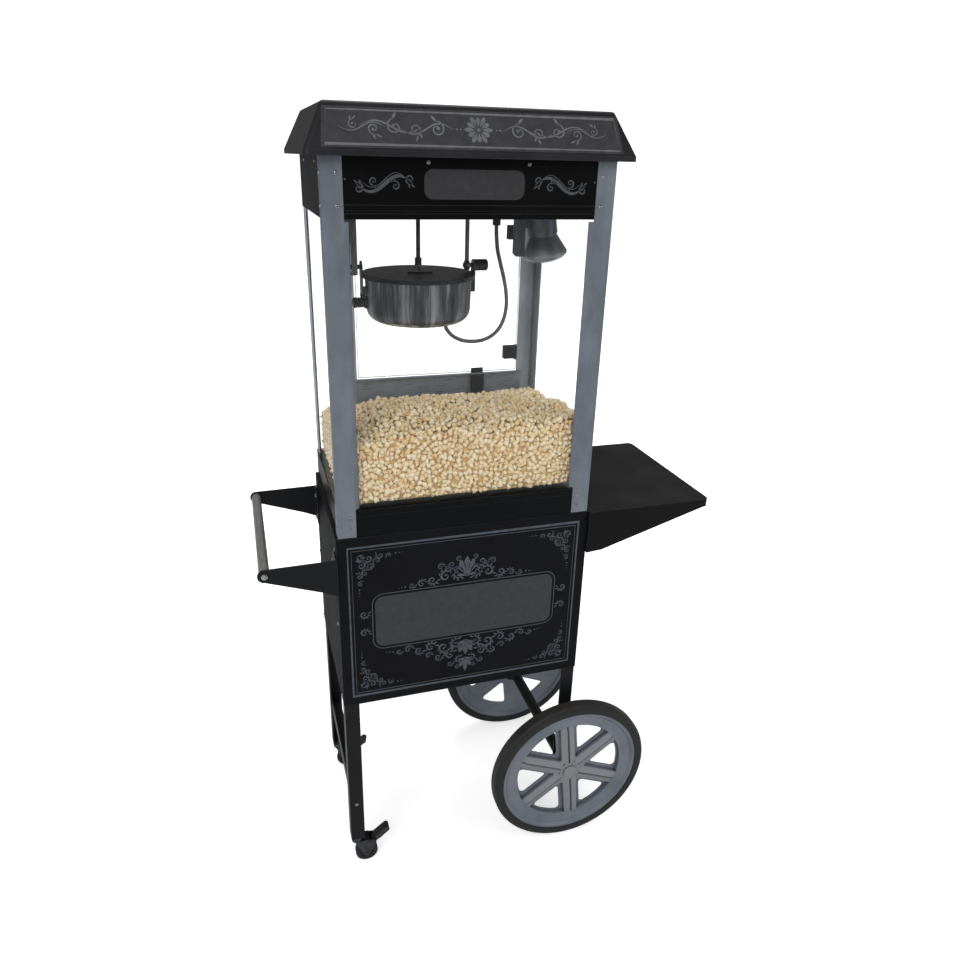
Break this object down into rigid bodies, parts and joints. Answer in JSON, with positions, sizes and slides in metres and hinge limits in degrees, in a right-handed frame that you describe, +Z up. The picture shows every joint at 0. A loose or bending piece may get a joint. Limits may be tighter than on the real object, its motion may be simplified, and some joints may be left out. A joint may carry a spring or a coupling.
{
  "type": "popcorn machine on a cart",
  "caption": "Glazed popcorn machine with hipped roof and hanging kettle on a black cart with large wheels, casters, side shelf and push handle.",
  "frame": {"origin": "on the floor, under the middle of the whole footprint", "axes": "+Z up; the glazed front faces -Y and the operator's door +Y; the side shelf and the large wheels are towards +X, the push handle and the casters towards -X"},
  "size_m": [0.937, 0.435, 1.567],
  "materials": {
    "black_frame": "gloss",
    "black_panel": "gloss",
    "grey_roof": "satin",
    "post_metal": "satin",
    "bright_steel": "satin",
    "dark_steel": "satin",
    "black_plastic": "satin",
    "wheel_plastic": "satin",
    "tyre_rubber": "matte",
    "clear_pane": "gloss",
    "lamp_glass": "gloss",
    "cord_rubber": "matte",
    "popcorn": "matte"
  },
  "bodies": {
    "cart_and_cabinet": {"leg_front_left": "black_frame", "leg_rear_left": "black_frame", "leg_front_right": "black_frame", "leg_rear_right": "black_frame", "cart_front_panel": "black_panel", "cart_left_panel": "black_panel", "cart_right_panel": "black_panel", "cart_top": "black_frame", "cart_floor": "black_frame", "leg_brace": "black_frame", "side_shelf": "black_frame", "handle_arms": "black_frame", "push_bar": "post_metal", "cart_bolts": "bright_steel", "axle": "black_frame", "base_tray": "black_panel", "kernel_deck": "bright_steel", "post_front_left": "post_metal", "post_front_right": "post_metal", "post_rear_left": "post_metal", "post_rear_right": "post_metal", "front_glass": "clear_pane", "side_glasses": "clear_pane", "rear_pane": "clear_pane", "door_stile": "post_metal", "rear_sill": "bright_steel", "door_catch": "black_plastic", "header": "black_panel", "roof": "grey_roof", "drive_motor": "dark_steel", "kettle_hangers": "bright_steel", "cable_socket": "black_plastic", "kettle_cable": "cord_rubber", "lamp_bracket": "dark_steel", "heat_lamp": "lamp_glass", "switch_housings": "black_plastic", "mains_gland": "black_plastic", "popcorn_heap": "popcorn"},
    "front_wheel": {"wheel_front": "wheel_plastic", "tyre_front": "tyre_rubber"},
    "rear_wheel": {"wheel_rear": "wheel_plastic", "tyre_rear": "tyre_rubber"},
    "front_caster": {"caster_fork_front": "dark_steel"},
    "front_caster_roller": {"caster_wheel_front": "black_plastic"},
    "front_brake": {"caster_brake_front": "black_plastic"},
    "rear_caster": {"caster_fork_rear": "dark_steel"},
    "rear_caster_roller": {"caster_wheel_rear": "black_plastic"},
    "rear_brake": {"caster_brake_rear": "black_plastic"},
    "door": {"rear_door": "clear_pane", "door_fittings": "black_plastic"},
    "drawer": {"crumb_drawer": "bright_steel"},
    "kettle": {"kettle_pot": "bright_steel", "kettle_lid": "dark_steel", "kettle_grips": "black_plastic"},
    "flap": {"lid_flap": "dark_steel"},
    "stirrer_body": {"stirrer": "bright_steel"},
    "drive": {"drive_shaft": "dark_steel"},
    "heat_rocker": {"switch_heat": "black_plastic"},
    "motor_rocker": {"switch_motor": "black_plastic"},
    "light_rocker": {"switch_light": "black_plastic"}
  },
  "joints": [
    {"name": "front_wheel_spin", "type": "hinge", "parent": "cart_and_cabinet", "child": "front_wheel", "pos_m": [0.1805, -0.2015, 0.185], "axis": [0, 1, 0], "continuous": true},
    {"name": "rear_wheel_spin", "type": "hinge", "parent": "cart_and_cabinet", "child": "rear_wheel", "pos_m": [0.1805, 0.2015, 0.185], "axis": [0, 1, 0], "continuous": true},
    {"name": "front_caster_swivel", "type": "hinge", "parent": "cart_and_cabinet", "child": "front_caster", "pos_m": [-0.3065, -0.155, 0.075], "axis": [0, 0, 1], "continuous": true},
    {"name": "front_caster_roll", "type": "hinge", "parent": "front_caster", "child": "front_caster_roller", "pos_m": [-0.2875, -0.155, 0.025], "axis": [0, 1, 0], "continuous": true},
    {"name": "front_brake_press", "type": "hinge", "parent": "front_caster", "child": "front_brake", "pos_m": [-0.2715, -0.155, 0.055], "axis": [0, 1, 0], "range_deg": [0, 25]},
    {"name": "rear_caster_swivel", "type": "hinge", "parent": "cart_and_cabinet", "child": "rear_caster", "pos_m": [-0.3065, 0.155, 0.075], "axis": [0, 0, 1], "continuous": true},
    {"name": "rear_caster_roll", "type": "hinge", "parent": "rear_caster", "child": "rear_caster_roller", "pos_m": [-0.28815, 0.15008, 0.025], "axis": [0.2588, 0.9659, 0], "continuous": true},
    {"name": "rear_brake_press", "type": "hinge", "parent": "rear_caster", "child": "rear_brake", "pos_m": [-0.27269, 0.14594, 0.055], "axis": [0.2588, 0.9659, 0], "range_deg": [0, 25]},
    {"name": "door_swing", "type": "hinge", "parent": "cart_and_cabinet", "child": "door", "pos_m": [0.1445, 0.1735, 1.218], "axis": [0, 0, -1], "range_deg": [0, 100]},
    {"name": "drawer_slide", "type": "slide", "parent": "cart_and_cabinet", "child": "drawer", "axis": [0, 1, 0], "range_m": [0, 0.15]},
    {"name": "kettle_tilt", "type": "hinge", "parent": "cart_and_cabinet", "child": "kettle", "pos_m": [-0.1235, 0, 1.3], "axis": [1, 0, 0], "range_deg": [0, 93], "deforming": ["kettle_cable"]},
    {"name": "flap_lift", "type": "hinge", "parent": "kettle", "child": "flap", "pos_m": [-0.1235, -0.01415, 1.288], "axis": [-1, 0, 0], "range_deg": [0, 75]},
    {"name": "stirrer_spin", "type": "hinge", "parent": "kettle", "child": "stirrer_body", "pos_m": [-0.1235, 0, 1.25], "axis": [0, 0, 1], "continuous": true},
    {"name": "drive_shaft_spin", "type": "hinge", "parent": "cart_and_cabinet", "child": "drive", "pos_m": [-0.1235, 0, 1.38], "axis": [0, 0, 1], "continuous": true},
    {"name": "heat_switch_rock", "type": "hinge", "parent": "cart_and_cabinet", "child": "heat_rocker", "pos_m": [-0.0065, 0.167, 1.454], "axis": [1, 0, 0], "range_deg": [0, 16]},
    {"name": "motor_switch_rock", "type": "hinge", "parent": "cart_and_cabinet", "child": "motor_rocker", "pos_m": [0.0335, 0.167, 1.454], "axis": [1, 0, 0], "range_deg": [0, 16]},
    {"name": "light_switch_rock", "type": "hinge", "parent": "cart_and_cabinet", "child": "light_rocker", "pos_m": [0.0735, 0.167, 1.454], "axis": [1, 0, 0], "range_deg": [0, 16]}
  ],
  "couplings": [
    {"joint": "drive_shaft_spin", "follows": "stirrer_spin", "ratio": 1}
  ]
}
